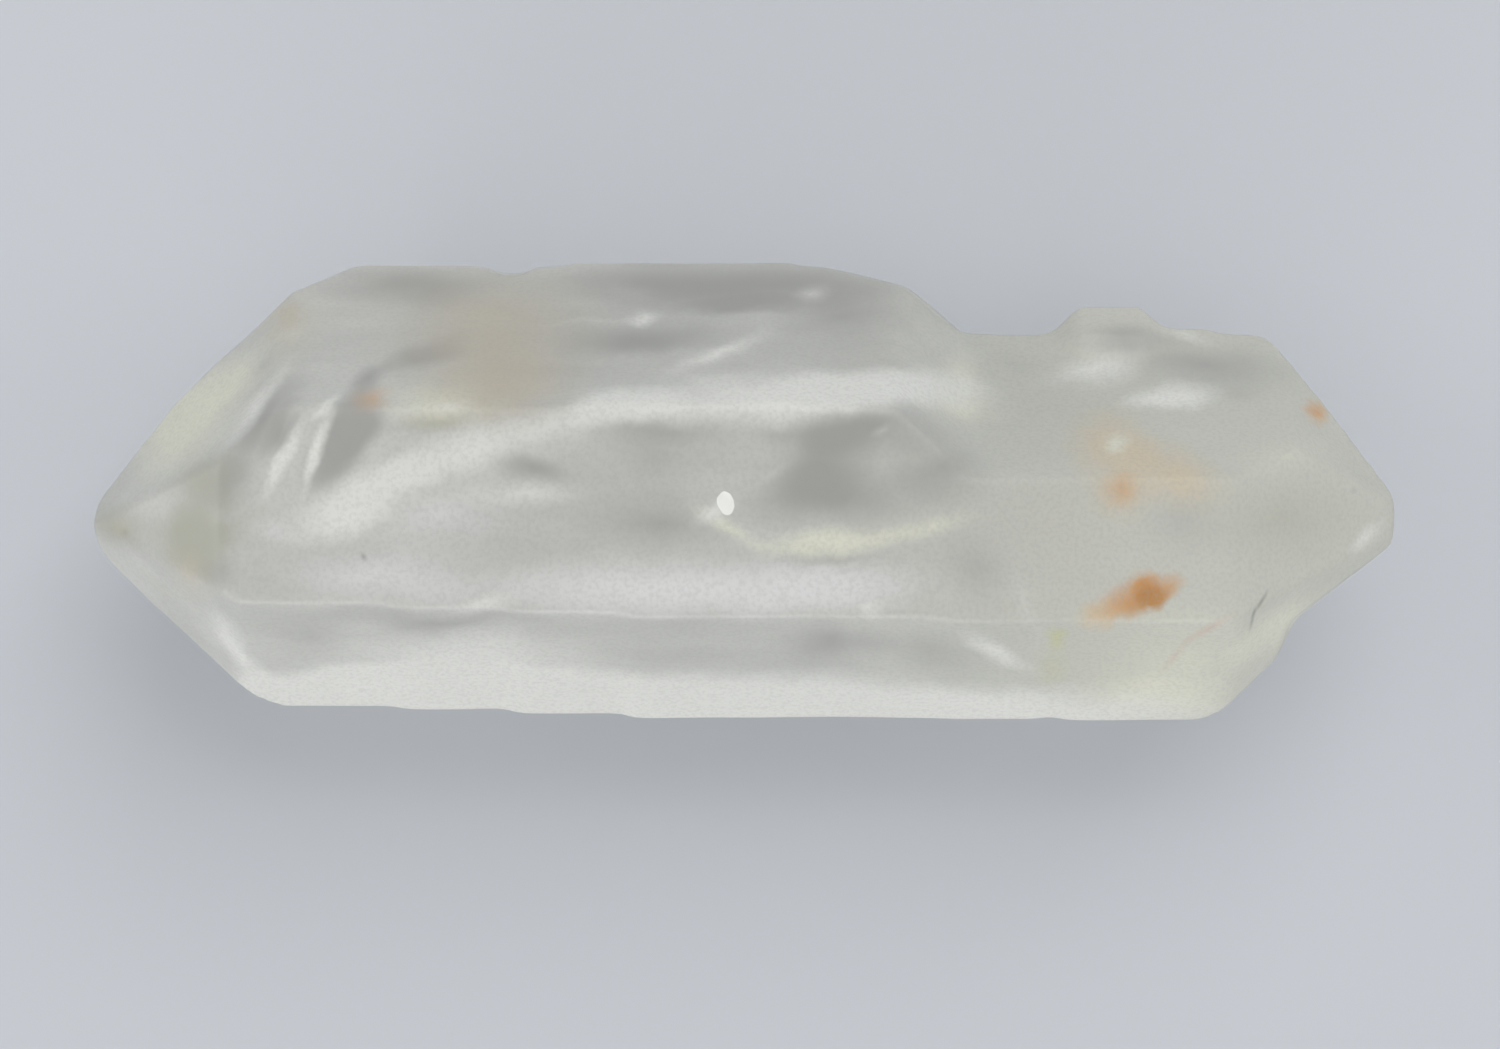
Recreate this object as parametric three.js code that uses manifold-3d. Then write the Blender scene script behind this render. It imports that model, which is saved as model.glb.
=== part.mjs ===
// A clear quartz crystal with a point at each end, lying on one of its long faces.
//
// Millimetres. +X runs along the crystal's c axis, +Z is up, +Y is the far side.
// The origin is under the middle of the crystal's box, on the surface it rests on.
//
// Quartz grows as a six-sided prism whose faces stand 60 degrees apart round the c axis,
// closed at each end by six sloping faces. Here it grew as a long main crystal and a
// narrower one beside and beyond it, with their axes parallel, so the two share most of
// their faces and are one solid. Low ledges mark growth layers that stopped early, two
// small crystals stick out of the far edge, and the scoops are old breaks and chips.

import * as THREE from "three";
import { mergeVertices } from "three/addons/utils/BufferGeometryUtils.js";
import Module from "manifold-3d";

const wasm = await Module();
wasm.setup();

// ---------------------------------------------------------------- driving dimensions

const LENGTH = 90; // between the two worn tips
const END_SLOPE = 39; // degrees from the c axis to an end face, in all of these crystals
const AXIS = { y: -1.5, z: 16.5 }; // the c axis, above the surface that the crystal lies on

// Each face of a crystal: how far out from the axis it grew, and the stretch of X that it
// covers on a corner, from its left shoulder to its right one. Past a shoulder the end
// face begins.
const MAIN = {
  top: { out: 10.7, from: -35.3, to: 13.6 },
  far_upper: { out: 11.5, from: -31.6, to: 10.2 },
  far_lower: { out: 19.1, from: -27.4, to: 13 },
  bottom: { out: 16.5, from: -24.8, to: 20 },
  near_lower: { out: 13.15, from: -32.5, to: 20 },
  near_upper: { out: 10.7, from: -34.4, to: 20 },
};
const RIGHT = {
  top: { out: 10.3, from: -10, to: 33.2 },
  far_upper: { out: 7.2, from: -10, to: 37.2 },
  far_lower: { out: 15.1, from: -10, to: 37.5 },
  bottom: { out: 16.5, from: -10, to: 25.7 },
  near_lower: { out: 14.0, from: 14, to: 31.6 },
  near_upper: { out: 11.6, from: 12, to: 33 },
};

// Growth layers on the main crystal: each covers some of its faces, a little further out,
// and ends in low ledges.
const NEAR_FACES = ["near_upper", "near_lower"];
const FAR_FACES = ["far_upper", "far_lower"];
const LAYERS = [
  { on: NEAR_FACES, rise: 0.27, from: -24, to: 20 },
  { on: NEAR_FACES, rise: 0.54, from: -16, to: 20 },
  { on: NEAR_FACES, rise: 0.81, from: -8, to: 20 },
  { on: FAR_FACES, rise: 0.15, from: -12.5, to: 3.5 },
];

// Small crystals on the far edge, each a regular prism with an axis of its own.
const SIDE_CRYSTALS = [
  { y: 8.8, z: 8.2, out: 3.8, from: 23.3, to: 28 },
  { y: 8.6, z: 8.8, out: 2.7, from: 28.9, to: 32.8 },
];

// Breaks and chips: each scoop's place on the surface, the way it faces, the radius of the
// ball that cuts it and how deep it bites.
const SCOOPS = {
  far_notch: { at: [-16.4, 16.1, 9.1], facing: [-0.1, 1, 0.2], radius: 1.9, depth: 1.0 },
  near_nick: { at: [21.1, -16.1, 14], facing: [0, -1, 0], radius: 0.8, depth: 0.35 },
  right_break: { at: [33.7, -12.2, 21.2], facing: [0.3, -0.8, 0.5], radius: 9, depth: 0.9 },
  right_crescent: { at: [35.9, -8.4, 25], facing: [0.5, -0.35, 0.8], radius: 1.6, depth: 0.3 },
  left_pit: { at: [-26.7, -4.6, 27.2], facing: [0, 0, 1], radius: 0.6, depth: 0.2 },
};

// The main crystal's far right shoulder is bent: it tapers first, then falls away steeply.
const SHOULDER = [
  { on: [7.5, 15.45, 9], facing: [0.23, 0.97, 0.05] },
  { on: [12.7, 13.2, 10], facing: [0.66, 0.75, 0.1] },
];

// A step broken out near the right tip. It removes what lies outside both of its planes.
const STEP = {
  corner: [38.1, -9.1, 15],
  floor: [0.59, -0.8, 0.1],
  wall: [0.92, -0.39, 0.15],
};

// ---------------------------------------------------------------- helpers

const ROUND_THE_AXIS = {
  far_upper: 30,
  top: 90,
  near_upper: 150,
  near_lower: 210,
  bottom: 270,
  far_lower: 330,
}; // degrees from +Y towards +Z
const FACES = Object.keys(ROUND_THE_AXIS);
const BLOCK = 240; // side of the blocks that stand for half spaces

const radians = THREE.MathUtils.degToRad;

// A three.js geometry as a closed solid that can be joined and cut.
function solidOf(geometry) {
  const bare = geometry.clone();
  bare.deleteAttribute("normal");
  bare.deleteAttribute("uv");
  const merged = mergeVertices(bare, 1e-4);
  return new wasm.Manifold(
    new wasm.Mesh({
      numProp: 3,
      vertProperties: merged.attributes.position.array,
      triVerts: new Uint32Array(merged.index.array),
    }),
  );
}

// The solid back as a three.js geometry with flat faces.
function geometryOf(solid) {
  const mesh = solid.getMesh();
  const indexed = new THREE.BufferGeometry();
  const points = new THREE.BufferAttribute(mesh.vertProperties, mesh.numProp);
  indexed.setAttribute("position", points);
  indexed.setIndex(new THREE.BufferAttribute(mesh.triVerts, 1));
  const flat = indexed.toNonIndexed();
  flat.computeVertexNormals();
  return flat;
}

// All the space outside a plane, from its outward normal and a point on it.
function outside(normal, point) {
  const outward = normal.clone().normalize();
  const turn = new THREE.Quaternion().setFromUnitVectors(new THREE.Vector3(0, 0, 1), outward);
  const middle = point.clone().addScaledVector(outward, BLOCK / 2);
  const place = new THREE.Matrix4().compose(middle, turn, new THREE.Vector3(1, 1, 1));
  return solidOf(new THREE.BoxGeometry(BLOCK, BLOCK, BLOCK).applyMatrix4(place));
}

// The outward direction of a prism face.
function prismNormal(name) {
  const angle = radians(ROUND_THE_AXIS[name]);
  return new THREE.Vector3(0, Math.cos(angle), Math.sin(angle));
}

// The outward direction of the end face that it meets, at the left (-1) or right (1) end.
function endNormal(name, end) {
  const lean = radians(END_SLOPE);
  const normal = prismNormal(name).multiplyScalar(Math.cos(lean));
  normal.x = end * Math.sin(lean);
  return normal;
}

// A quartz crystal along X, cut from a block by its twelve end faces and six prism faces.
function quartz(axis, faces) {
  let crystal = solidOf(new THREE.BoxGeometry(BLOCK / 2, BLOCK / 2, BLOCK / 2));
  for (const name of FACES) {
    const { out, from, to } = faces[name];
    const middle = new THREE.Vector3(0, axis.y, axis.z).addScaledVector(prismNormal(name), out);
    crystal = crystal.subtract(outside(prismNormal(name), middle));
    crystal = crystal.subtract(outside(endNormal(name, -1), middle.clone().setX(from)));
    crystal = crystal.subtract(outside(endNormal(name, 1), middle.clone().setX(to)));
  }
  return crystal;
}

// A ball set so that it bites to the given depth.
function scoop({ at, facing, radius, depth }) {
  const outward = new THREE.Vector3(...facing).normalize();
  const middle = new THREE.Vector3(...at).addScaledVector(outward, radius - depth);
  const ball = new THREE.IcosahedronGeometry(radius, 5);
  return solidOf(ball.translate(middle.x, middle.y, middle.z));
}

// ---------------------------------------------------------------- the crystal

function mainCrystal() {
  let crystal = quartz(AXIS, MAIN);
  for (const { on, rise, from, to } of LAYERS) {
    const grown = { ...MAIN };
    for (const name of on) {
      grown[name] = { out: MAIN[name].out + rise, from, to };
    }
    crystal = crystal.add(quartz(AXIS, grown));
  }
  for (const { on, facing } of SHOULDER) {
    const bend = outside(new THREE.Vector3(...facing), new THREE.Vector3(...on));
    crystal = crystal.subtract(bend);
  }
  return crystal;
}

function sideCrystal({ y, z, out, from, to }) {
  const faces = {};
  for (const name of FACES) {
    faces[name] = { out, from, to };
  }
  return quartz({ y, z }, faces);
}

// The space outside both planes of a broken step.
function stepBite({ corner, floor, wall }) {
  const point = new THREE.Vector3(...corner);
  const aboveFloor = outside(new THREE.Vector3(...floor), point);
  return aboveFloor.intersect(outside(new THREE.Vector3(...wall), point));
}

function wholeCrystal() {
  let crystal = mainCrystal().add(quartz(AXIS, RIGHT));
  for (const side of SIDE_CRYSTALS) {
    crystal = crystal.add(sideCrystal(side));
  }
  for (const chip of Object.values(SCOOPS)) {
    crystal = crystal.subtract(scoop(chip));
  }
  crystal = crystal.subtract(stepBite(STEP));
  for (const end of [-1, 1]) {
    const tip = new THREE.Vector3((end * LENGTH) / 2, 0, 0);
    crystal = crystal.subtract(outside(new THREE.Vector3(end, 0, 0), tip));
  }
  return crystal;
}

const clearQuartz = new THREE.MeshStandardMaterial({
  color: 0xd9dcd3,
  roughness: 0.12,
  metalness: 0,
});
const mesh = new THREE.Mesh(geometryOf(wholeCrystal()), clearQuartz);
mesh.name = "quartz_crystal";

const part = new THREE.Group();
part.add(mesh);

export default part;
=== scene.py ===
# %% [markdown]
# # A clear quartz crystal
#
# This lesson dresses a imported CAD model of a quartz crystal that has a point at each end.
# The CAD part already has the true size and every large flat face. What is left for Blender
# is what a hand specimen has besides: edges worn soft, faces that are a little uneven, a
# milky see-through body, the healed cracks and cloudy veils inside it, and the iron stains.
#
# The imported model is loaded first. Nothing below changes it: every new piece is made beside
# it, in the same place, and rides on the same body.

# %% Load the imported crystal
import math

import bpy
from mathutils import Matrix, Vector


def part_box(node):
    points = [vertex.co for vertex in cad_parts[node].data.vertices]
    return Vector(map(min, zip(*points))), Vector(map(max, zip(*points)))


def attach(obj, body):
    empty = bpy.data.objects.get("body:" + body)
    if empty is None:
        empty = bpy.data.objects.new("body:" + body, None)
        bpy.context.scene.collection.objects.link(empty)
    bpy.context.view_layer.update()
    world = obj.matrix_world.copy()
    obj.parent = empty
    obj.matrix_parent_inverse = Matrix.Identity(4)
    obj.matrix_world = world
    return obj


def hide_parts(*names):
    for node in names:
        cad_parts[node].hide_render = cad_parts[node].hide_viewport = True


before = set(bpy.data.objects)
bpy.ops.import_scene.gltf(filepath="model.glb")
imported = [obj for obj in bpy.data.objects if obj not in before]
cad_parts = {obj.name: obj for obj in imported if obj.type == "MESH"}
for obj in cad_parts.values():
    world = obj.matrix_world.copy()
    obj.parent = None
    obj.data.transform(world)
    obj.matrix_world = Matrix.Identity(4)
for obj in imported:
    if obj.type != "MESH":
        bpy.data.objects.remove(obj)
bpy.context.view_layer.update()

# %% [markdown]
# The crystal's box is measured at once, because the dressed crystal has to stay inside it.
# Blender works in metres, and a crystal is easier to think of in millimetres, so one helper
# turns a place along, across and up the crystal into Blender's metres. Another makes one
# object the only selected one, which is what most of Blender's operators act on.

MM = 0.001
low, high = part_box("quartz_crystal")
print(f"the crystal's box is {[round(side / MM, 1) for side in high - low]} mm")


def place(along, across, up):
    """A point in metres, from millimetres in the crystal's own frame."""
    return Vector((along, across, up)) * MM


def select_only(*pieces):
    """Makes these objects the only selected ones, and the first of them active."""
    bpy.ops.object.select_all(action="DESELECT")
    for piece in pieces:
        piece.select_set(True)
    bpy.context.view_layer.objects.active = pieces[0]


def apply_modifier(piece, kind, **settings):
    """Adds a modifier to a piece, with its settings, and applies it."""
    modifier = piece.modifiers.new(kind.lower(), kind)
    for setting, value in settings.items():
        setattr(modifier, setting, value)
    select_only(piece)
    bpy.ops.object.modifier_apply(modifier=modifier.name)


# %% [markdown]
# ## The worn skin
#
# A real crystal's edges are never knife sharp: years of handling round them by a few tenths
# of a millimetre. A bevel could round them, but the low growth ledges lie closer together
# than a bevel needs. So the skin is rebuilt instead. A voxel remesh of a merged copy gives
# small even squares, which keep the flat faces flat, and some passes of smoothing then
# round whatever is sharp.

# %% Copy the solid and rebuild its skin
SKIN_GRAIN = 0.34 * MM
MERGE_WITHIN = 0.001 * MM
ROUNDING_PASSES = 26
ROUNDING_PULL = 0.5  # how far a pass moves each corner towards its neighbours' middle

select_only(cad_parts["quartz_crystal"])
bpy.ops.object.duplicate()
crystal = bpy.context.object
crystal.name = "worn_crystal"
bpy.ops.object.mode_set(mode="EDIT")
bpy.ops.mesh.select_all(action="SELECT")
bpy.ops.mesh.remove_doubles(threshold=MERGE_WITHIN)
bpy.ops.object.mode_set(mode="OBJECT")
crystal.data.remesh_voxel_size = SKIN_GRAIN
crystal.data.remesh_voxel_adaptivity = 0
bpy.ops.object.voxel_remesh()
apply_modifier(crystal, "SMOOTH", factor=ROUNDING_PULL, iterations=ROUNDING_PASSES)
print(f"the skin has {len(crystal.data.polygons)} squares")

# %% [markdown]
# A natural face also waves very slightly, and that is what bends the light that comes
# through it. A sculptor would press the wave in by hand. Here a Displace modifier reads a
# soft cloud pattern and moves the skin only inwards, so that it can't leave the box.

# %% Let the faces wave
SWELL_SIZE = 9 * MM
SWELL_DEPTH = 0.45 * MM
SWELL_CONTRAST = 0.6
SWELL_INWARDS = 0.85  # the pattern's level that leaves the skin where it is

swell = bpy.data.textures.new("swell", "CLOUDS")
swell.noise_scale = SWELL_SIZE
swell.noise_depth = 1
swell.contrast = SWELL_CONTRAST
apply_modifier(
    crystal,
    "DISPLACE",
    texture=swell,
    texture_coords="LOCAL",
    mid_level=SWELL_INWARDS,
    strength=SWELL_DEPTH,
)
bpy.ops.object.shade_smooth()
print(f"the worn crystal measures {[round(side / MM, 1) for side in crystal.dimensions]} mm")

# %% [markdown]
# ## The camera's frame
#
# Bands, stains and cracks are easiest to place where the eye sees them. So the lesson gives
# their places in the camera's frame, as pixels from its left and top edges, and works out
# the rest. The camera looks straight down through a long lens, a little way off the
# crystal's middle, and its distance follows from how much of the frame the crystal fills.

# %% Frame and line of sight
FRAME_WIDTH, FRAME_HEIGHT = 1500, 1049
CRYSTAL_WIDTH = 1294
FRAME_CENTRE = place(0.32, -2.37, high.z / MM / 2)
LENS, SENSOR = 135, 36

PIXEL = (high.x - low.x) / CRYSTAL_WIDTH
eye = FRAME_CENTRE + Vector((0, 0, PIXEL * FRAME_WIDTH * LENS / SENSOR))


def aim(across, down):
    """The place that a pixel shows at the crystal's middle height."""
    offset = Vector((across - FRAME_WIDTH / 2, FRAME_HEIGHT / 2 - down, 0))
    return FRAME_CENTRE + offset * PIXEL


def seen(across, down):
    """The place that a pixel shows: on the crystal, or else at its middle height."""
    goal = aim(across, down)
    hit, point, _, _ = crystal.ray_cast(eye, (goal - eye).normalized())
    return point if hit else goal


print(f"a pixel of the frame is {PIXEL / MM:.4f} mm, and the eye is {eye.z:.3f} m up")

# %% [markdown]
# ## Patterns that the finishes share
#
# Stains, veils and frost are all soft ragged patches, so they are built from the same few
# nodes. Small helpers keep the node code readable. They start a node group with named
# sockets, fill a socket, add a Math or a Vector Math node, turn a value into a smooth step,
# and make a cloud pattern.

# %% Helpers for shader nodes
def new_group(name, inputs, outputs):
    """An empty shader node group with named sockets, and its input and output nodes."""
    group = bpy.data.node_groups.new(name, "ShaderNodeTree")
    for socket, (kind, value) in inputs.items():
        made = group.interface.new_socket(name=socket, in_out="INPUT", socket_type=kind)
        if value is not None:
            made.default_value = value
    for socket, kind in outputs.items():
        group.interface.new_socket(name=socket, in_out="OUTPUT", socket_type=kind)
    return group, group.nodes.new("NodeGroupInput"), group.nodes.new("NodeGroupOutput")


def feed(tree, value, socket):
    """Puts a plain number or another node's output into a socket."""
    if isinstance(value, bpy.types.NodeSocket):
        tree.links.new(value, socket)
    else:
        socket.default_value = value


def reckon(tree, operation, first, second, clamp=False):
    """A Math node on two inputs. Returns its output."""
    node = tree.nodes.new("ShaderNodeMath")
    node.operation = operation
    node.use_clamp = clamp
    feed(tree, first, node.inputs[0])
    feed(tree, second, node.inputs[1])
    return node.outputs["Value"]


def reckon_vector(tree, operation, *inputs):
    """A Vector Math node on its inputs. Returns the node."""
    node = tree.nodes.new("ShaderNodeVectorMath")
    node.operation = operation
    for value, socket in zip(inputs, node.inputs):
        feed(tree, value, socket)
    return node


def smooth_step(tree, value, start, end):
    """0 below start, 1 above end, and a smooth curve between them."""
    node = tree.nodes.new("ShaderNodeMapRange")
    node.interpolation_type = "SMOOTHSTEP"
    node.clamp = False
    feed(tree, value, node.inputs["Value"])
    node.inputs["From Min"].default_value = start
    node.inputs["From Max"].default_value = end
    return node.outputs["Result"]


def cloud(tree, vector, size, detail):
    """A Noise Texture whose lumps are about this size. Returns its 0 to 1 output."""
    node = tree.nodes.new("ShaderNodeTexNoise")
    feed(tree, vector, node.inputs["Vector"])
    feed(tree, 1 / size, node.inputs["Scale"])
    node.inputs["Detail"].default_value = detail
    return node.outputs["Fac"]


# %% [markdown]
# One group covers a thin sheet with cloudy wisps, for veils, cracks and painted light inside.
# The sheet's own UV map tells how near its rim a point is, so the veil fades out before the
# sheet ends and no rim is ever seen. A cloud pattern, drawn out along the sheet, leaves
# thicker and thinner places in it.

# %% Node group: cloudy wisps on a sheet
WISP_SIZE = 11 * MM
WISP_THIN, WISP_THICK = 0.28, 0.72
WISP_LUMP = 0.6  # as a share of WISP_SIZE
WISP_DETAIL = 2
STREAKS_ALONG = 0.6
RIM = 0.97
# What makes a UV map run from -1 to 1 instead of from 0 to 1: a scale and a shift.
UV_TO_CENTRE = Vector((2, 2, 0)), Vector((-1, -1, 0))

wisps, given, result = new_group(
    "cloudy_wisps",
    {
        "Sheet": ("NodeSocketVector", None),
        "Body": ("NodeSocketVector", None),
        "Streaks": ("NodeSocketFloat", 1),
        "Density": ("NodeSocketFloat", 0.5),
        "Evenness": ("NodeSocketFloat", 0.5),
        "Core": ("NodeSocketFloat", 0.3),
    },
    {"Mask": "NodeSocketFloat"},
)
centred = reckon_vector(wisps, "MULTIPLY_ADD", given.outputs["Sheet"], *UV_TO_CENTRE)
rim = reckon_vector(wisps, "LENGTH", centred.outputs["Vector"]).outputs["Value"]
fade = wisps.nodes.new("ShaderNodeMapRange")
fade.interpolation_type = "SMOOTHSTEP"
feed(wisps, rim, fade.inputs["Value"])
feed(wisps, given.outputs["Core"], fade.inputs["From Min"])
feed(wisps, RIM, fade.inputs["From Max"])
feed(wisps, 1, fade.inputs["To Min"])
feed(wisps, 0, fade.inputs["To Max"])
stretch = wisps.nodes.new("ShaderNodeCombineXYZ")
stretch.inputs["X"].default_value = STREAKS_ALONG
feed(wisps, given.outputs["Streaks"], stretch.inputs["Y"])
drawn = reckon_vector(wisps, "MULTIPLY", centred.outputs["Vector"], stretch.outputs["Vector"])
body = reckon_vector(wisps, "MULTIPLY", given.outputs["Body"], Vector((1, 1, 1)) / WISP_SIZE)
moved = reckon_vector(wisps, "ADD", body.outputs["Vector"], drawn.outputs["Vector"])
lumps = cloud(wisps, moved.outputs["Vector"], WISP_LUMP, WISP_DETAIL)
thick = smooth_step(wisps, lumps, WISP_THIN, WISP_THICK)
thick = reckon(wisps, "MULTIPLY", thick, reckon(wisps, "SUBTRACT", 1, given.outputs["Evenness"]))
thick = reckon(wisps, "ADD", thick, given.outputs["Evenness"])
veil = reckon(wisps, "MULTIPLY", thick, fade.outputs["Result"])
veil = reckon(wisps, "MULTIPLY", veil, given.outputs["Density"], clamp=True)
feed(wisps, veil, result.inputs["Mask"])
print(f"cloudy_wisps has {len(wisps.nodes)} nodes")

# %% [markdown]
# ## Quartz
#
# Clear quartz passes nearly all light and bends it, so it is the Principled shader with
# transmission and the index of refraction of quartz. This crystal is milky as well. A
# volume full of tiny specks would be the true way, but it is slow and few programs read it,
# so the skin turns back a share of the light instead. Its colour starts as faint streaks of
# more and less milky stone, drawn out along the crystal, and greener towards the right end.

# %% The milky ground colour
MILKY = (0.66, 0.663, 0.63, 1)
MILKIER = (0.75, 0.752, 0.715, 1)
GREENER = (0.72, 0.722, 0.64, 1)
STREAK_SIZE = 4 * MM
STREAK_STRETCH = Vector((0.3, 1, 1))
STREAK_DETAIL = 4
STREAKS_FROM, STREAKS_FULL = 0.3, 0.7
GREENER_FROM, GREENER_TO = 2 * MM, 24 * MM
GREENER_SHARE = 0.8
# A Mix node has one set of sockets for each kind of value. These are the share's and the
# colours' places among them.
SHARE_IN, FIRST_IN, SECOND_IN, COLOUR_OUT = 0, 6, 7, 2

quartz = bpy.data.materials.new("cloudy_quartz")
quartz.use_nodes = True
tree = quartz.node_tree
shader = tree.nodes["Principled BSDF"]
where = tree.nodes.new("ShaderNodeTexCoord").outputs["Object"]
split = tree.nodes.new("ShaderNodeSeparateXYZ")
feed(tree, where, split.inputs["Vector"])


def blend(tree, share, first, second):
    """The first colour with a share of the second mixed in. Returns the output."""
    node = tree.nodes.new("ShaderNodeMix")
    node.data_type = "RGBA"
    feed(tree, share, node.inputs[SHARE_IN])
    feed(tree, first, node.inputs[FIRST_IN])
    feed(tree, second, node.inputs[SECOND_IN])
    return node.outputs[COLOUR_OUT]


drawn = reckon_vector(tree, "MULTIPLY", where, STREAK_STRETCH).outputs["Vector"]
streaks = cloud(tree, drawn, STREAK_SIZE, STREAK_DETAIL)
streaks = smooth_step(tree, streaks, STREAKS_FROM, STREAKS_FULL)
greener = smooth_step(tree, split.outputs["X"], GREENER_FROM, GREENER_TO)
greener = reckon(tree, "MULTIPLY", greener, GREENER_SHARE)
ground = blend(tree, greener, blend(tree, streaks, MILKY, MILKIER), GREENER)
print(f"{quartz.name} has its ground colour")

# %% [markdown]
# The light and shade that the prism edges and the healed cracks throw inside the stone are
# painted into the skin's colour as soft bands: the pale ones are painted light and the dark
# ones painted shade, where the real stone shows refraction and reflection. Each is a soft
# spindle: a patch that is longer than it is broad, strongest in its middle and gone at its
# reach. It could be painted by hand, but a pattern that is reckoned from the place in the
# crystal has no seams on any side. A spherical gradient makes it, and the gradient's own
# texture mapping sets its middle, turn and reach, so that each spindle takes only two nodes.
#
# First the place is warped by a cloud pattern, because no real band is straight. Height
# doesn't count, as a band runs over several faces, but all bands fade out low on the sides,
# where they would turn into upright stripes. The dark bands of painted shade are laid first.

# %% Helpers for spindles, and the grey and olive bands of painted shade
WARP_SIZE = 5.5 * MM
WARP_DEPTH = 2.2 * MM
WARP_DETAIL = 4
MEAN_CLOUD = Vector((0.5, 0.5, 0.5))
LOWEST_BAND, FULL_BAND = 7 * MM, 12 * MM
ANY_HEIGHT = 1000 * MM
SATURATED = 1.2  # the sum of spindles at which a tint is at its full strength


def warped(tree, vector, size, depth):
    """The places moved about by a cloud pattern, up to half this depth each way."""
    node = tree.nodes.new("ShaderNodeTexNoise")
    feed(tree, vector, node.inputs["Vector"])
    feed(tree, 1 / size, node.inputs["Scale"])
    node.inputs["Detail"].default_value = WARP_DETAIL
    centred = reckon_vector(tree, "SUBTRACT", node.outputs["Color"], MEAN_CLOUD)
    moved = reckon_vector(tree, "MULTIPLY", centred.outputs["Vector"], Vector((1, 1, 1)) * depth)
    return reckon_vector(tree, "ADD", vector, moved.outputs["Vector"]).outputs["Vector"]


def add_spindle(tree, name, vector, middle, turn, reach, strength, before):
    """One more spindle on a sum of spindles. Returns the new sum."""
    falloff = tree.nodes.new("ShaderNodeTexGradient")
    falloff.label = name
    falloff.gradient_type = "SPHERICAL"
    falloff.texture_mapping.vector_type = "TEXTURE"
    falloff.texture_mapping.translation = middle
    falloff.texture_mapping.rotation = (0, 0, turn)
    falloff.texture_mapping.scale = reach
    feed(tree, vector, falloff.inputs["Vector"])
    added = tree.nodes.new("ShaderNodeMath")
    added.operation = "MULTIPLY_ADD"
    feed(tree, falloff.outputs["Fac"], added.inputs[0])
    feed(tree, strength, added.inputs[1])
    feed(tree, before, added.inputs[2])
    return added.outputs["Value"]


def lay_bands(bands, tint, vector, colour):
    """The colour with these bands of a tint laid over it."""
    total = 0.0
    for name, (start, end, breadth, strength) in bands.items():
        first, last = seen(*start), seen(*end)
        run = last - first
        middle = (first + last) / 2
        reach = Vector((run.xy.length / 2, breadth * PIXEL, ANY_HEIGHT))
        turn = math.atan2(run.y, run.x)
        total = add_spindle(tree, name, vector, middle, turn, reach, strength, total)
    mask = reckon(tree, "MULTIPLY", smooth_step(tree, total, 0, SATURATED), upward)
    print(f"{len(bands)} bands")
    return blend(tree, mask, colour, tint)


GREY = (0.445, 0.445, 0.425, 1)
OLIVE_GREY = (0.49, 0.49, 0.40, 1)

# Each band: the pixels where its line starts and ends, its half breadth in pixels, and how
# strong it is.
# The grey bands are painted shade: the darker far faces, the dark patch and shaded places.
PAINTED_SHADE_BANDS = {
    "right_far_corner": ((1060, 338), (1180, 340), 24, 0.6),
    "left_shade": ((176, 512), (262, 470), 30, 1.0),
    "over_the_lens_wide": ((350, 372), (480, 336), 34, 0.25),
    "far_face": ((300, 335), (960, 325), 100, 0.4),
    "upper_left": ((290, 280), (520, 282), 38, 1.1),
    "upper_dark": ((520, 272), (930, 276), 44, 1.6),
    "upper_dark_line": ((665, 310), (815, 302), 11, 0.7),
    "upper_shoulder": ((760, 324), (935, 308), 40, 0.75),
    "upper_middle": ((540, 350), (730, 334), 21, 0.8),
    "upper_middle_low": ((470, 374), (640, 370), 20, 0.3),
    "under_far_band": ((575, 430), (750, 428), 20, 0.6),
    "middle": ((540, 528), (775, 522), 40, 0.85),
    "middle_upper": ((560, 452), (745, 462), 46, 0.6),
    "patch_top_left": ((744, 436), (800, 420), 16, 0.5),
    "patch_left": ((752, 520), (876, 404), 54, 1.1),
    "patch_low": ((745, 506), (950, 486), 42, 0.95),
    "patch_top": ((775, 428), (960, 430), 32, 1.0),
    "patch_right": ((880, 466), (1006, 470), 44, 0.85),
    "left_wedge": ((300, 520), (384, 380), 34, 1.35),
    "left_wedge_side": ((318, 444), (396, 400), 30, 1.0),
    "left_dark_stripe": ((206, 500), (322, 350), 30, 1.15),
    "left_stripe_shade": ((258, 478), (304, 396), 16, 0.8),
    "between_streaks": ((266, 484), (318, 394), 8, 0.6),
    "face_stripe": ((236, 396), (288, 334), 10, 0.6),
    "over_the_lens": ((336, 400), (404, 362), 15, 1.0),
    "over_the_lens_end": ((385, 368), (475, 338), 20, 0.95),
    "under_diagonal": ((315, 556), (440, 500), 10, 0.4),
    "small_lens": ((480, 455), (580, 480), 17, 1.1),
    "near_left": ((246, 634), (380, 640), 34, 0.6),
    "left_low": ((160, 548), (250, 575), 30, 1.4),
    "near_dark_strip": ((300, 616), (575, 622), 15, 0.75),
    "near_dark_a": ((600, 655), (770, 655), 18, 0.3),
    "near_dark_b": ((760, 644), (900, 646), 32, 0.9),
    "near_dark_c": ((850, 636), (1010, 668), 34, 0.6),
    "right_middle": ((925, 530), (1025, 616), 50, 0.6),
    "right_middle_low": ((1120, 500), (1250, 540), 60, 0.5),
    "right_upper": ((1060, 350), (1350, 376), 46, 0.9),
    "right_lilac": ((975, 352), (1060, 368), 20, 0.35),
    "arc_shadow": ((762, 564), (890, 552), 8, 0.8),
}
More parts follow.
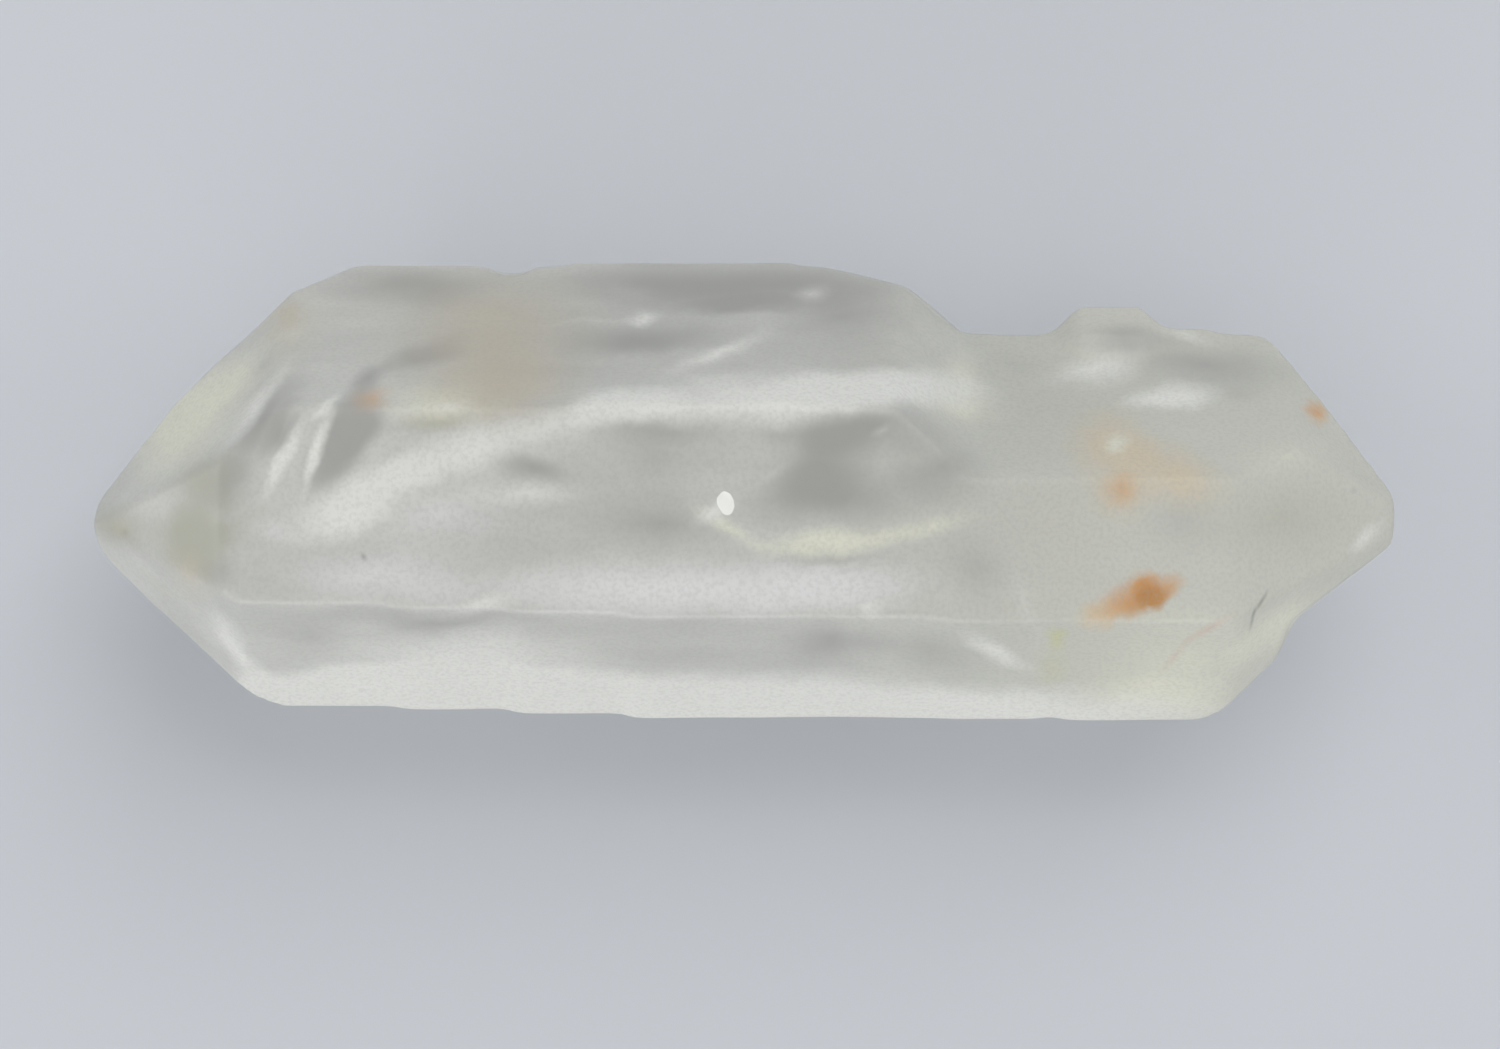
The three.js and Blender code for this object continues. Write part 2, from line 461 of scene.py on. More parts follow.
# The olive bands are painted shade too, in the stone's olive tone, mostly at the left end.
OLIVE_SHADE_BANDS = {
    "left_olive": ((150, 500), (262, 462), 40, 1.0),
    "left_olive_middle": ((165, 524), (300, 520), 36, 0.7),
    "left_olive_low": ((150, 522), (240, 570), 44, 1.6),
    "tip_olive": ((80, 526), (170, 520), 34, 0.9),
    "lens_line": ((370, 420), (505, 428), 15, 1.0),
    "middle_olive": ((405, 572), (520, 578), 24, 0.2),
    "upper_olive": ((380, 310), (620, 318), 24, 0.45),
    "right_olive": ((1150, 520), (1400, 520), 60, 0.6),
    "right_line": ((1212, 388), (1265, 394), 10, 0.5),
}

upward = smooth_step(tree, split.outputs["Z"], LOWEST_BAND, FULL_BAND)
wavy = warped(tree, where, WARP_SIZE, WARP_DEPTH)
colour = lay_bands(PAINTED_SHADE_BANDS, GREY, wavy, ground)
colour = lay_bands(OLIVE_SHADE_BANDS, OLIVE_GREY, wavy, colour)

# %% [markdown]
# The pale bands follow, and they are painted light. The two straight ones are the light along
# the long edges behind and in front, the strip along the near bottom edge is light leaving the
# stone, the diagonal ones lie over the healed cracks, and the creamy ones, in the stone's own
# creamy tone, lie where the stone is least clear. The halo round the white bead is a painted
# highlight and the streaks on the right are painted reflections.

# %% The pale bands of painted light
BRIGHT = (1.0, 1.0, 0.955, 1)
LILAC = (0.93, 0.925, 0.925, 1)
CREAM = (0.93, 0.935, 0.79, 1)

LILAC_LIT_BANDS = {
    "near_band_end": ((740, 588), (935, 584), 32, 0.7),
    "near_band": ((370, 590), (985, 584), 38, 1.25),
    "near_band_left": ((250, 580), (500, 572), 38, 0.95),
    "left_lilac": ((232, 522), (312, 540), 20, 0.7),
    "middle_lilac": ((350, 528), (540, 508), 34, 0.8),
    "corner_lilac": ((1030, 690), (1100, 694), 24, 0.4),
}
CREAM_LIT_BANDS = {
    "left_face": ((118, 478), (262, 356), 60, 1.5),
    "left_face_top": ((195, 415), (300, 322), 26, 0.55),
    "cream_lens": ((362, 400), (530, 404), 36, 1.0),
    "far_triangle": ((905, 402), (1030, 408), 28, 0.8),
    "far_triangle_top": ((944, 416), (972, 340), 34, 0.95),
    "arc_left": ((676, 496), (778, 552), 13, 1.05),
    "arc_right": ((736, 552), (920, 534), 19, 1.3),
    "arc_end": ((860, 542), (1000, 506), 15, 0.8),
    "bottom_green": ((500, 690), (560, 690), 22, 0.6),
    "right_light": ((1190, 462), (1360, 452), 28, 0.5),
    "right_corner": ((1030, 690), (1330, 634), 70, 0.75),
    "right_corner_low": ((1050, 704), (1260, 700), 34, 0.95),
    "right_low_face": ((1215, 656), (1355, 580), 34, 0.85),
    "left_low_edge": ((110, 545), (215, 628), 14, 0.3),
}
PAINTED_LIGHT_BANDS = {
    "far_band": ((520, 408), (1040, 390), 34, 1.25),
    "far_band_end": ((760, 390), (1010, 386), 27, 0.9),
    "diagonal_low": ((268, 544), (446, 462), 38, 1.5),
    "diagonal_middle": ((365, 488), (570, 414), 32, 1.2),
    "diagonal_end": ((500, 434), (700, 392), 24, 1.0),
    "diagonal_high": ((655, 378), (785, 326), 12, 0.9),
    "left_streak_a": ((255, 510), (312, 412), 11, 1.5),
    "left_streak_b": ((298, 508), (342, 394), 9, 1.3),
    "streaks_meet": ((306, 430), (344, 392), 8, 0.9),
    "left_stripe": ((208, 474), (300, 348), 13, 0.9),
    "left_patch": ((268, 340), (318, 326), 12, 0.45),
    "lens_light": ((440, 496), (610, 488), 20, 0.85),
    "cream_lens_core": ((416, 408), (484, 406), 10, 0.9),
    "upper_line": ((480, 330), (700, 314), 8, 0.45),
    "upper_spot_a": ((618, 320), (668, 312), 11, 0.8),
    "upper_spot_b": ((785, 300), (842, 286), 14, 0.7),
    "patch_veil": ((735, 512), (806, 432), 12, 0.35),
    "patch_spot": ((866, 440), (898, 426), 7, 0.5),
    "near_spot": ((856, 612), (888, 604), 15, 0.9),
    "near_start": ((440, 603), (530, 598), 14, 0.9),
    "near_light": ((275, 664), (650, 652), 44, 1.2),
    "near_diagonal": ((940, 626), (1050, 672), 15, 1.1),
    # The brightest is painted light: light that leaves the stone along the near bottom edge.
    "bottom_strip": ((-20, 704), (1330, 720), 52, 2.6),
    "bottom_left": ((215, 700), (640, 704), 46, 2.2),
    "left_low_face": ((200, 596), (270, 700), 20, 1.2),
    "right_streak_a": ((1026, 384), (1158, 360), 19, 1.1),
    "right_streak_b": ((1108, 405), (1232, 388), 19, 1.4),
    "right_wisp": ((1150, 322), (1222, 340), 11, 0.9),
    "right_arc": ((1000, 545), (1050, 668), 16, 0.35),
    "right_edge": ((1345, 560), (1388, 520), 14, 0.9),
    "highlight_halo": ((688, 528), (744, 496), 15, 1.0),
}

colour = lay_bands(LILAC_LIT_BANDS, LILAC, wavy, colour)
colour = lay_bands(CREAM_LIT_BANDS, CREAM, wavy, colour)
colour = lay_bands(PAINTED_LIGHT_BANDS, BRIGHT, wavy, colour)

# %% [markdown]
# Last come a few fine marks that are too shallow to model: the shadow line of a chip, a pit,
# specks, and a brownish crack that bounds the broken corner.

# %% Fine marks
SHADOW = (0.22, 0.22, 0.20, 1)
CRACK_TINT = (0.74, 0.58, 0.50, 1)

DARK_MARKS = {
    "chip_line_top": ((1272, 584), (1249, 620), 3.4, 0.8),
    "chip_line_foot": ((1255, 602), (1248, 638), 3.2, 0.75),
    "pit_mark": ((360, 550), (367, 563), 4.5, 0.7),
    "tip_speck": ((119, 526), (131, 538), 8, 0.5),
    "right_speck": ((1350, 486), (1357, 494), 6, 0.4),
}
CRACK_LINES = {
    "corner_crack_a": ((1244, 608), (1172, 648), 7, 0.8),
    "corner_crack_b": ((1196, 634), (1154, 678), 7, 0.6),
}

colour = lay_bands(CRACK_LINES, CRACK_TINT, where, colour)
colour = lay_bands(DARK_MARKS, SHADOW, where, colour)

# %% [markdown]
# Iron salts from the ground have dyed the skin in a few places. A stain is made of spindles
# too, but it has a raggeder outline, so its place is warped by a finer pattern. A pale
# peach halo lies round each rusty core.

# %% Stains on the skin
PEACH = (0.80, 0.675, 0.49, 1)
RUST = (0.78, 0.42, 0.15, 1)
DEEP_RUST = (0.60, 0.28, 0.07, 1)
MOSS = (0.70, 0.71, 0.42, 1)
BROWN = (0.65, 0.57, 0.43, 1)
STAIN_GRAIN = 1.6 * MM
STAIN_WARP = 1.4 * MM

PEACH_STAINS = {
    "rust_tail": ((1070, 626), (1130, 600), 20, 1.45),
    "peach_patch": ((1066, 478), (1152, 416), 52, 1.1),
    "peach_wing": ((1106, 448), (1240, 500), 42, 1.1),
    "peach_foot": ((1078, 498), (1166, 500), 30, 0.75),
    "tip_halo": ((1302, 402), (1332, 426), 18, 1.0),
    "left_rust": ((165, 540), (215, 606), 30, 0.5),
    "tip_rust": ((106, 520), (136, 538), 16, 0.35),
}
BROWN_STAINS = {
    "left_shoulder_deep": ((270, 320), (300, 300), 20, 0.3),
    "brown_haze": ((405, 400), (600, 384), 46, 0.5),
    "brown_upper": ((370, 376), (620, 322), 100, 0.55),
    "brown_spread": ((240, 300), (690, 326), 110, 0.35),
    "left_shoulder": ((255, 360), (320, 290), 40, 0.6),
}
RUST_STAINS = {
    "rust_streak": ((1080, 622), (1186, 580), 22, 1.15),
    "rust_lobe": ((1134, 566), (1154, 602), 19, 0.9),
    "rust_end": ((1156, 600), (1186, 570), 15, 0.55),
    "tip_spot": ((1302, 398), (1330, 426), 18, 0.85),
    "lens_dot": ((342, 410), (398, 388), 21, 0.65),
    "peach_red": ((1098, 506), (1144, 472), 26, 0.75),
}
DEEP_RUST_STAINS = {
    "rust_core": ((1136, 576), (1166, 614), 20, 1.2),
    "rust_core_foot": ((1110, 618), (1184, 585), 15, 0.85),
}
CREAM_STAINS = {
    "peach_eye": ((1098, 454), (1136, 436), 19, 1.1),
}
MOSS_STAINS = {
    "moss_dot": ((1040, 645), (1072, 628), 18, 1.0),
    "moss_tail": ((1050, 636), (1054, 700), 26, 0.5),
}

ragged = warped(tree, where, STAIN_GRAIN, STAIN_WARP)
colour = lay_bands(BROWN_STAINS, BROWN, ragged, colour)
colour = lay_bands(PEACH_STAINS, PEACH, ragged, colour)
colour = lay_bands(RUST_STAINS, RUST, ragged, colour)
colour = lay_bands(DEEP_RUST_STAINS, DEEP_RUST, ragged, colour)
colour = lay_bands(CREAM_STAINS, CREAM, ragged, colour)
colour = lay_bands(MOSS_STAINS, MOSS, ragged, colour)

# %% [markdown]
# The whole skin is very finely speckled darker.

# %% Speckle
SPECKLE_SIZE = 0.28 * MM
SPECKLE_SHARE = 0.22
SPECKS_FROM, SPECKS_FULL = 0.35, 0.75
FLECK_TONE = (0.46, 0.46, 0.44, 1)

flecks = smooth_step(tree, cloud(tree, where, SPECKLE_SIZE, 1), SPECKS_FROM, SPECKS_FULL)
flecks = reckon(tree, "MULTIPLY", flecks, SPECKLE_SHARE)
feed(tree, blend(tree, flecks, colour, FLECK_TONE), shader.inputs["Base Color"])
print(f"the colour of {quartz.name} is complete with {len(tree.nodes)} nodes")

# %% [markdown]
# The body's see-through values are the same all over, so they are set straight on the
# shader. Absorption gives thick places the faint warm grey of the real stone, more than
# thin ones, which no paint on the skin can do.

# %% The see-through body
QUARTZ_IOR = 1.544
SEE_THROUGH = 0.45
BODY_TINT = (0.92, 0.90, 0.82, 1)
TINT_PER_METRE = 3

shader.inputs["IOR"].default_value = QUARTZ_IOR
shader.inputs["Transmission Weight"].default_value = SEE_THROUGH
absorb = tree.nodes.new("ShaderNodeVolumeAbsorption")
absorb.inputs["Color"].default_value = BODY_TINT
absorb.inputs["Density"].default_value = TINT_PER_METRE
feed(tree, absorb.outputs["Volume"], tree.nodes["Material Output"].inputs["Volume"])
print(f"index of refraction {QUARTZ_IOR}, transmission {SEE_THROUGH}")

# %% [markdown]
# The skin itself is dull from wear, with clearer and duller places, and towards the right
# end it is frosted all over. Fine pits make that dullness: they are far too small to
# model, so roughness stands for most of them, and a shallow bump for the largest.

# %% The frosted skin
FROST_FROM, FROST_TO = 8 * MM, 26 * MM
DULLEST_PATCH = 6 * MM
PIT_SIZE = 0.35 * MM
PIT_DEPTH = 0.01 * MM
PATCH_DETAIL, PIT_DETAIL = 2, 3
ROUGH_LEAST, ROUGH_PATCHES, ROUGH_FROST = 0.34, 0.16, 0.1

frost = smooth_step(tree, split.outputs["X"], FROST_FROM, FROST_TO)
rough = reckon(tree, "MULTIPLY", cloud(tree, where, DULLEST_PATCH, PATCH_DETAIL), ROUGH_PATCHES)
rough = reckon(tree, "ADD", rough, ROUGH_LEAST)
rough = reckon(tree, "ADD", rough, reckon(tree, "MULTIPLY", frost, ROUGH_FROST), clamp=True)
feed(tree, rough, shader.inputs["Roughness"])
pits = tree.nodes.new("ShaderNodeBump")
pits.inputs["Distance"].default_value = PIT_DEPTH
feed(tree, cloud(tree, where, PIT_SIZE, PIT_DETAIL), pits.inputs["Height"])
feed(tree, pits.outputs["Normal"], shader.inputs["Normal"])
print(f"roughness from {ROUGH_LEAST} to {ROUGH_LEAST + ROUGH_PATCHES + ROUGH_FROST:.2f}")

# %% [markdown]
# Only the skin that is met first needs the whole pattern. Light that has been through the
# crystal comes out blurred, so a plain milky quartz stands for the skin wherever a ray meets
# it later, and the picture is made in half the time. Light Path's Ray Depth is zero until a
# ray's first bounce, so it picks between the two.

# %% Plain quartz for the light inside
INNER_TINT = (0.86, 0.865, 0.83, 1)
INNER_ROUGHNESS = 0.45

plain = tree.nodes.new("ShaderNodeBsdfPrincipled")
plain.inputs["Base Color"].default_value = INNER_TINT
plain.inputs["Roughness"].default_value = INNER_ROUGHNESS
plain.inputs["IOR"].default_value = QUARTZ_IOR
plain.inputs["Transmission Weight"].default_value = SEE_THROUGH
bounced = tree.nodes.new("ShaderNodeLightPath").outputs["Ray Depth"]
either = tree.nodes.new("ShaderNodeMixShader")
feed(tree, bounced, either.inputs["Fac"])
feed(tree, shader.outputs["BSDF"], either.inputs[1])
feed(tree, plain.outputs["BSDF"], either.inputs[2])
feed(tree, either.outputs["Shader"], tree.nodes["Material Output"].inputs["Surface"])

crystal.data.materials.clear()
crystal.data.materials.append(quartz)
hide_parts("quartz_crystal")
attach(crystal, "root")
print(f"{crystal.name} takes the place of the packed crystal")

# %% [markdown]
# ## Veils, cracks, stains and painted light inside
#
# A quartz crystal cracks as it grows and heals again, and each healed crack stays as a
# cloudy sheet. Other sheets are thin films of iron salts. Some pale sheets are painted light
# instead: they stand for light that leaves the stone along its edges and for the window
# mirrored in a face. Each kind is a plain pale or rusty material that only shows where the
# wisps are, at its own strength.

# %% Materials of the sheets
# Each kind: its colour, how many streaks run along it, how dense and how even it is, and
# how much of its breadth is full before it fades.
SHEET_KINDS = {
    # White sheets are healed cracks, and painted light along the edges and on the right.
    "white": ((0.98, 0.985, 0.96, 1), 1.2, 0.9, 0.6, 0.35),
    "cream": ((0.98, 0.965, 0.86, 1), 1.0, 0.8, 0.6, 0.35),
    "rust": ((0.84, 0.42, 0.14, 1), 1.2, 0.8, 0.6, 0.1),
}
SHEET_ROUGHNESS = 0.8

sheet_materials = {}
for kind, (tint, streaks, density, evenness, core) in SHEET_KINDS.items():
    material = bpy.data.materials.new(f"{kind}_veil")
    material.use_nodes = True
    tree = material.node_tree
    shader = tree.nodes["Principled BSDF"]
    shader.inputs["Base Color"].default_value = tint
    shader.inputs["Roughness"].default_value = SHEET_ROUGHNESS
    coordinates = tree.nodes.new("ShaderNodeTexCoord")
    pattern = tree.nodes.new("ShaderNodeGroup")
    pattern.node_tree = wisps
    feed(tree, coordinates.outputs["UV"], pattern.inputs["Sheet"])
    feed(tree, coordinates.outputs["Object"], pattern.inputs["Body"])
    feed(tree, streaks, pattern.inputs["Streaks"])
    feed(tree, density, pattern.inputs["Density"])
    feed(tree, evenness, pattern.inputs["Evenness"])
    feed(tree, core, pattern.inputs["Core"])
    feed(tree, pattern.outputs["Mask"], shader.inputs["Alpha"])
    sheet_materials[kind] = material
print(f"{len(sheet_materials)} kinds of sheet")

# %% [markdown]
# Every sheet starts as a round disc with rings of small faces, stretched along the line it
# follows. A haze, an iron film or a pale sheet of painted light lies close under the skin, so
# its disc is thrown straight down on the skin with a Shrinkwrap modifier and let sink a little
# way in. A crack is a flat sheet that leans through the body, so it is placed by its middle
# and then only kept inside. A slight ripple and a thin wall finish both. The wall matters: a
# renderer needs to know which side of a sheet is out, and a closed sheet says so.

# %% A helper that makes one stretched disc
DISC_CORNERS = 40
DISC_BREADTH = 1  # before it is stretched
DISC_CUTS = 4
SHEET_WALL = 0.03 * MM
RIPPLE = 0.5 * MM
RIPPLE_SIZE = 9 * MM
KEEP_UNDER = 0.3 * MM
DROPPED_FROM = 1 * MM  # above the crystal's top

ripples = bpy.data.textures.new("ripples", "CLOUDS")
ripples.noise_scale = RIPPLE_SIZE
ripples.noise_depth = 0


def stretched_disc(name, length, breadth):
    """A flat disc of small faces, stretched to a length and a breadth."""
    bpy.ops.object.select_all(action="DESELECT")
    bpy.ops.mesh.primitive_circle_add(
        vertices=DISC_CORNERS, radius=DISC_BREADTH / 2, fill_type="TRIFAN"
    )
    disc = bpy.context.object
    disc.name = name
    bpy.ops.object.mode_set(mode="EDIT")
    bpy.ops.mesh.subdivide(number_cuts=DISC_CUTS)
    bpy.ops.object.mode_set(mode="OBJECT")
    disc.scale = (length, breadth, 1)
    bpy.ops.object.transform_apply(location=False, rotation=False, scale=True)
    return disc


def finish_sheet(sheet, kind):
    """Keeps a sheet under the skin and gives it its thin wall, smooth shading and material."""
    apply_modifier(
        sheet,
        "SHRINKWRAP",
        target=crystal,
        wrap_method="NEAREST_SURFACEPOINT",
        wrap_mode="INSIDE",
        offset=KEEP_UNDER,
    )
    apply_modifier(sheet, "SOLIDIFY", thickness=SHEET_WALL, offset=0)
    bpy.ops.object.shade_smooth()
    sheet.data.materials.append(sheet_materials[kind])
    return sheet


# %% [markdown]
# The two kinds of sheet differ only in how they find their place. Light bends as it comes
# out through a sloping face, so a crack that is seen at one spot lies a little to the side
# of it. The helper follows the line of sight to the skin, bends it by the law of
# refraction, and puts the crack's middle on the bent line.

# %% Helpers that lay a sheet under the skin and set a crack
def lay_under_skin(name, start, end, breadth, depth, kind):
    """A sheet under the skin between two pixels, at a depth in millimetres; some are painted
    light.
    """
    first, last = seen(*start), seen(*end)
    first.z = last.z = 0
    run = last - first
    veil = stretched_disc(name, run.length, breadth * PIXEL)
    middle = (first + last) / 2 + Vector((0, 0, high.z + DROPPED_FROM))
    along = run.to_track_quat("X", "Z").to_matrix().to_4x4()
    veil.matrix_world = Matrix.Translation(middle) @ along
    bpy.ops.object.transform_apply(location=True, rotation=True, scale=True)
    apply_modifier(
        veil,
        "SHRINKWRAP",
        target=crystal,
        wrap_method="PROJECT",
        use_project_z=True,
        use_negative_direction=True,
        use_positive_direction=False,
        offset=-depth * MM,
    )
    apply_modifier(
        veil, "DISPLACE", texture=ripples, texture_coords="LOCAL", strength=RIPPLE / 2
    )
    return finish_sheet(veil, kind)


def seen_inside(across, down, depth):
    """The place that a pixel shows at a depth in millimetres inside the crystal."""
    sight = (aim(across, down) - eye).normalized()
    hit, point, normal, _ = crystal.ray_cast(eye, sight)
    if not hit:
        raise ValueError(f"the crystal isn't at pixel {across}, {down}")
    cosine = -sight.dot(normal)
    inner = math.sqrt(1 - (1 - cosine * cosine) / QUARTZ_IOR**2)
    bent = sight / QUARTZ_IOR + (cosine / QUARTZ_IOR - inner) * normal
    return point + bent.normalized() * depth * MM


def crack(name, start, end, breadth, depth, lean, kind):
    """A sheet through the body, leaning by some degrees about the line between two pixels."""
    first, last = seen_inside(*start, depth), seen_inside(*end, depth)
    run = last - first
    sheet = stretched_disc(name, run.length, breadth * PIXEL)
    apply_modifier(sheet, "DISPLACE", texture=ripples, texture_coords="LOCAL", strength=RIPPLE)
    along = run.to_track_quat("X", "Z").to_matrix().to_4x4()
    leaning = Matrix.Rotation(math.radians(lean), 4, "X")
    sheet.matrix_world = Matrix.Translation((first + last) / 2) @ along @ leaning
    bpy.ops.object.transform_apply(location=True, rotation=True, scale=True)
    return finish_sheet(sheet, kind)


# %% [markdown]
# The hazes come first. The three white ones, along the long edges and the near bottom edge,
# are painted light: pale sheets where light that came in at the top leaves again. Creamy ones
# fill the left end and the near right corner, the stone's creamy tone with painted light.

# %% Lay the hazes and the sheets of painted light
# Each sheet: the pixels where its line starts and ends, its breadth in pixels, its depth in
# millimetres and its kind.
LIGHT_AND_HAZE_SHEETS = {
    "far_band": ((545, 394), (965, 392), 52, 1.2, "white"),
    "near_band": ((430, 590), (905, 582), 62, 1.2, "white"),
    "bottom_strip": ((250, 676), (1215, 688), 66, 0.8, "white"),
    "left_face": ((112, 500), (345, 300), 95, 1.0, "cream"),
    "right_corner": ((985, 668), (1262, 640), 120, 0.8, "cream"),
}

sheets = [lay_under_skin(name, *values) for name, values in LIGHT_AND_HAZE_SHEETS.items()]
print(f"{len(sheets)} hazes laid")

# %% [markdown]
# The cracks are narrower and lie deeper. The two long diagonal ones are the most visible
# thing in the crystal. A short pair of streaks stands near the left end, a creamy lens
# beside them, and a pale arc curls through the middle.

# %% Set the cracks
# Each crack: the pixels where its line starts and ends, its breadth in pixels, its depth in
# millimetres, how far it leans in degrees, and its kind.
CRACKS = {
    "diagonal_low": ((292, 552), (600, 400), 66, 3.0, 18, "white"),
    "diagonal_high": ((610, 398), (790, 330), 40, 2.5, -20, "white"),
    "left_streak_a": ((256, 508), (326, 405), 20, 1.6, 0, "white"),
    "left_streak_b": ((292, 497), (346, 372), 20, 1.6, 10, "white"),
    "cream_lens": ((370, 394), (492, 396), 56, 1.6, 12, "cream"),
    "arc_left": ((672, 480), (775, 550), 30, 2.0, 0, "white"),
    "arc_right": ((738, 548), (985, 520), 34, 2.0, 0, "cream"),
    # The two right streaks are painted reflections: white sheets where a face mirrors the
    # window.
    "right_streak_a": ((1030, 376), (1150, 354), 28, 1.2, 0, "white"),
    "right_streak_b": ((1122, 404), (1226, 390), 28, 1.2, 0, "white"),
}

cracks = [crack(name, *values) for name, values in CRACKS.items()]
sheets += cracks
print(f"{len(cracks)} cracks set")

# %% [markdown]
# The iron films lie just under the skin's own stains, so that a stain has depth when the
# crystal is turned.

# %% Lay the iron films
# Each film: as for a haze.
IRON_FILMS = {
    "rust_streak": ((1083, 610), (1192, 572), 40, 0.5, "rust"),
    "tip_film": ((1299, 410), (1326, 420), 24, 0.6, "rust"),
}

films = [lay_under_skin(name, *values) for name, values in IRON_FILMS.items()]
sheets += films
print(f"{len(films)} iron films laid")

# %% [markdown]
# Loose sheets are hard to handle, so the sheets of each kind are joined into one piece. It
# keeps their UV maps, which the wisps read.

# %% Join the sheets of each kind
sheets_of = {}
for sheet in sheets:
    sheets_of.setdefault(sheet.data.materials[0].name, []).append(sheet)
for kind, material in sheet_materials.items():
    same = sheets_of[material.name]
    select_only(*same)
    if len(same) > 1:
        bpy.ops.object.join()
    joined = bpy.context.object
    joined.name = f"{kind}_veils"
    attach(joined, "root")
    print(f"{joined.name}: {len(joined.data.polygons)} faces")

# %% [markdown]
# A small white bead on the top face near its middle is a painted highlight: a bright piece
# where a lamp glints on the face. It starts as a ball of triangles, is pressed flat and
# roughened a little, and is sunk until only its cap stands out of the face.

# %% The bead of painted highlight
HIGHLIGHT_BEAD_AT = (725, 503)
HIGHLIGHT_BEAD_SIZE = Vector((1.6, 2.3, 0.6)) * MM
HIGHLIGHT_BEAD_TURN = 20
HIGHLIGHT_BEAD_TINT = (0.78, 0.785, 0.75, 1)
HIGHLIGHT_BEAD_ROUGHNESS = 0.3
HIGHLIGHT_BEAD_LUMPS = 0.06 * MM
HIGHLIGHT_BEAD_SPLITS = 4
BALL_BREADTH = 1  # before it is pressed
SUNK = 0.02 * MM

bpy.ops.object.select_all(action="DESELECT")
bpy.ops.mesh.primitive_ico_sphere_add(subdivisions=HIGHLIGHT_BEAD_SPLITS, radius=BALL_BREADTH / 2)
highlight_bead = bpy.context.object
highlight_bead.name = "painted_highlight_bead"
highlight_bead.scale = HIGHLIGHT_BEAD_SIZE
highlight_bead.rotation_euler.z = math.radians(HIGHLIGHT_BEAD_TURN)
highlight_bead.location = seen(*HIGHLIGHT_BEAD_AT)
highlight_bead.location.z = high.z - SUNK - HIGHLIGHT_BEAD_SIZE.z / 2
bpy.ops.object.transform_apply(location=True, rotation=True, scale=True)
lumps = bpy.data.textures.new("lumps", "CLOUDS")
lumps.noise_scale = HIGHLIGHT_BEAD_SIZE.z
apply_modifier(
    highlight_bead, "DISPLACE", texture=lumps, texture_coords="LOCAL", mid_level=1, strength=HIGHLIGHT_BEAD_LUMPS
)
bpy.ops.object.shade_smooth()
# The bead's bright white is a painted highlight.
highlight_paint = bpy.data.materials.new("highlight_white")
highlight_paint.use_nodes = True
highlight_paint.node_tree.nodes["Principled BSDF"].inputs["Base Color"].default_value = HIGHLIGHT_BEAD_TINT
highlight_paint.node_tree.nodes["Principled BSDF"].inputs["Roughness"].default_value = HIGHLIGHT_BEAD_ROUGHNESS
highlight_bead.data.materials.append(highlight_paint)
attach(highlight_bead, "root")
print(f"the grain stands {(high.z - SUNK - seen(*HIGHLIGHT_BEAD_AT).z) / MM:.2f} mm out of the face")

# %% [markdown]
# ## The studio
#
# The floor is plain pale paper. It lies a hair's breadth under the crystal, as a real floor
# does, because a see-through solid whose bottom coincides with a surface renders black.

# %% Floor
FLOOR_RADIUS = 2.4
FLOOR_CORNERS = 96
AIR_GAP = 0.15 * MM
PAPER = (0.55, 0.572, 0.61, 1)
PAPER_ROUGHNESS = 0.9

bpy.ops.object.select_all(action="DESELECT")
bpy.ops.mesh.primitive_circle_add(
    vertices=FLOOR_CORNERS, radius=FLOOR_RADIUS, fill_type="NGON", location=(0, 0, -AIR_GAP)
)
floor = bpy.context.object
floor.name = "floor"
paper = bpy.data.materials.new("pale_paper")
paper.use_nodes = True
paper.node_tree.nodes["Principled BSDF"].inputs["Base Color"].default_value = PAPER
paper.node_tree.nodes["Principled BSDF"].inputs["Roughness"].default_value = PAPER_ROUGHNESS
floor.data.materials.append(paper)
print(f"floor {FLOOR_RADIUS} m in radius, {AIR_GAP / MM} mm under the crystal")

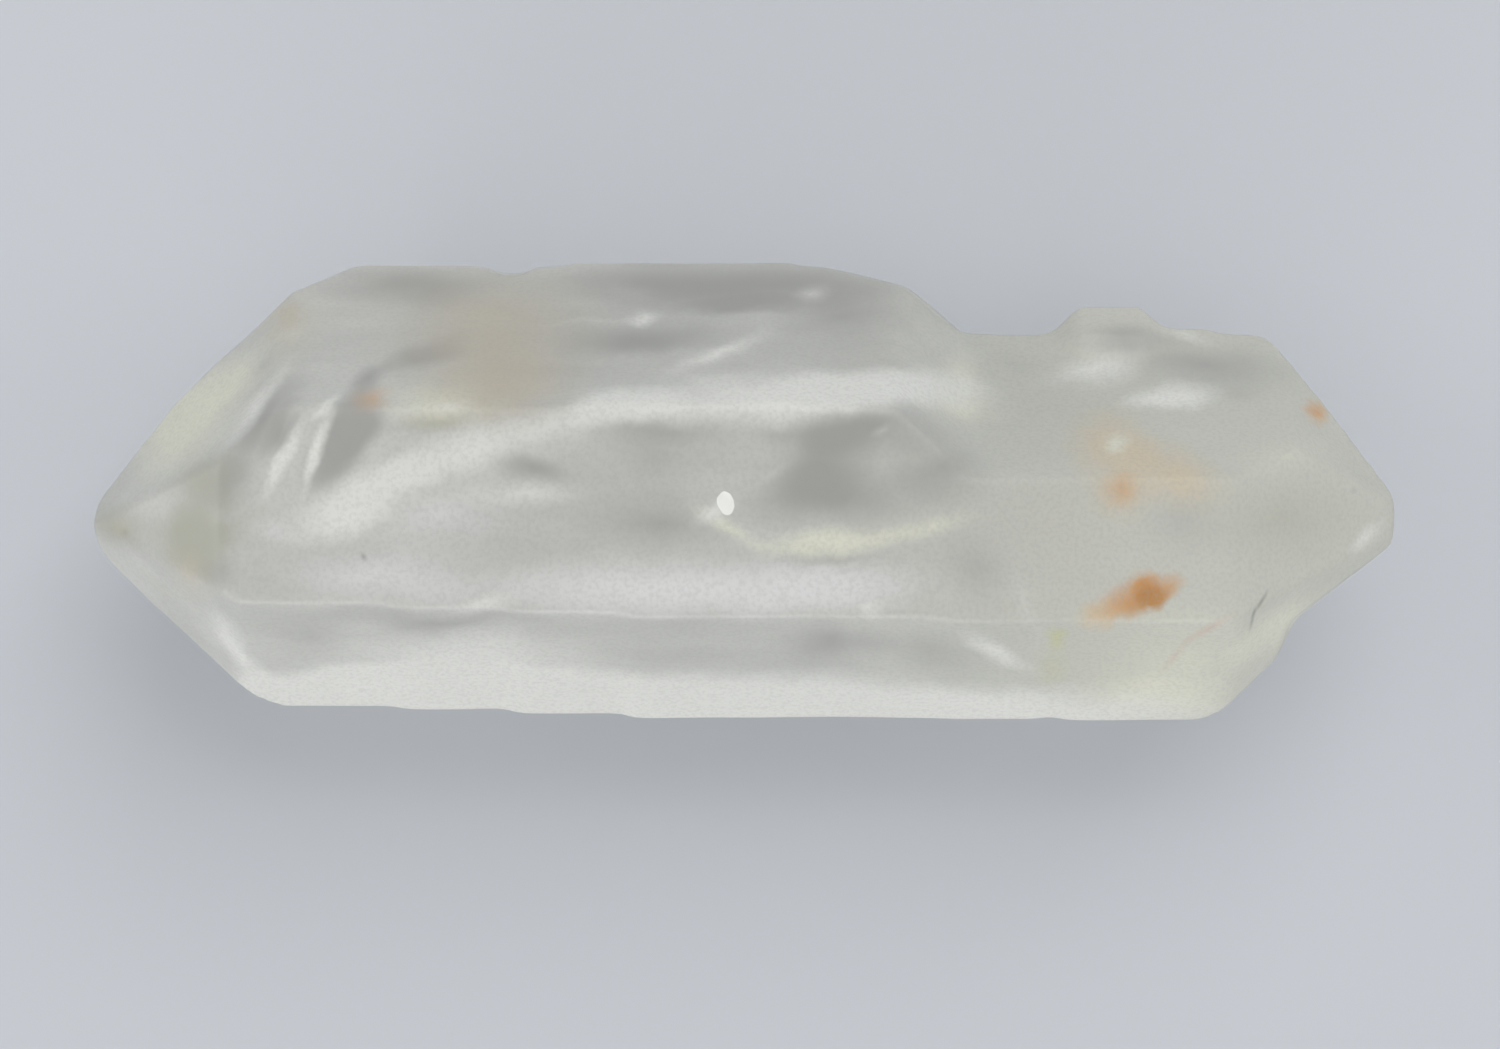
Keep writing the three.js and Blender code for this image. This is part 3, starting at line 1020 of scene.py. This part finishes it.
# %% [markdown]
# The light is soft: a plain pale sky and a broad window high behind the crystal and a
# little to its right, which throws its soft shadow forward and to the left. A long
# reflector low in front and two dim ones at the ends fill the faces that the window misses.

# %% Light
SKY_COLOUR = (0.99, 0.995, 1.0, 1)
SKY_STRENGTH = 0.61
# Each light: where it stands, its breadth and height in metres, and its power in watts.
LIGHTS = {
    "high_window": ((0.5, 1.25, 1.8), 1.6, 1.6, 19),
    "front_reflector": ((-0.5, -2.1, 0.45), 2.6, 0.8, 24),
    "left_reflector": ((-2.1, 0.3, 0.6), 1.0, 1.0, 9),
    "right_reflector": ((2.1, 0.3, 0.6), 1.0, 1.0, 6),
}


def window(name, location, breadth, height, power):
    """A rectangular area light that faces the crystal."""
    bpy.ops.object.light_add(type="AREA", location=location)
    light = bpy.context.object
    light.name = name
    light.data.shape = "RECTANGLE"
    light.data.size = breadth
    light.data.size_y = height
    light.data.energy = power
    light.rotation_euler = (-light.location).to_track_quat("-Z", "Y").to_euler()
    return light


studio = bpy.data.worlds.new("studio")
studio.use_nodes = True
bpy.context.scene.world = studio
sky = studio.node_tree.nodes["Background"]
sky.inputs["Color"].default_value = SKY_COLOUR
sky.inputs["Strength"].default_value = SKY_STRENGTH
for name, (location, breadth, height, power) in LIGHTS.items():
    window(name, location, breadth, height, power)
print(f"a sky and {len(LIGHTS)} soft lights")

# %% [markdown]
# ## Camera
#
# The camera stands at the eye that the lines of sight started from. Light that passes many
# veils and faces needs more bounces than an opaque thing.

# %% Camera and bounces
BOUNCES = 10
SOFT_BOUNCES = 4
VEILS_PASSED = 16

bpy.ops.object.camera_add(location=eye, rotation=(0, 0, 0))
camera = bpy.context.object
camera.data.lens = LENS
camera.data.sensor_width = SENSOR
scene = bpy.context.scene
scene.camera = camera
scene.view_settings.view_transform = "Standard"
scene.cycles.max_bounces = BOUNCES
scene.cycles.transmission_bounces = BOUNCES
scene.cycles.glossy_bounces = BOUNCES
scene.cycles.diffuse_bounces = SOFT_BOUNCES
scene.cycles.transparent_max_bounces = VEILS_PASSED
print(f"the camera is {eye.z - high.z:.3f} m above the crystal's top")
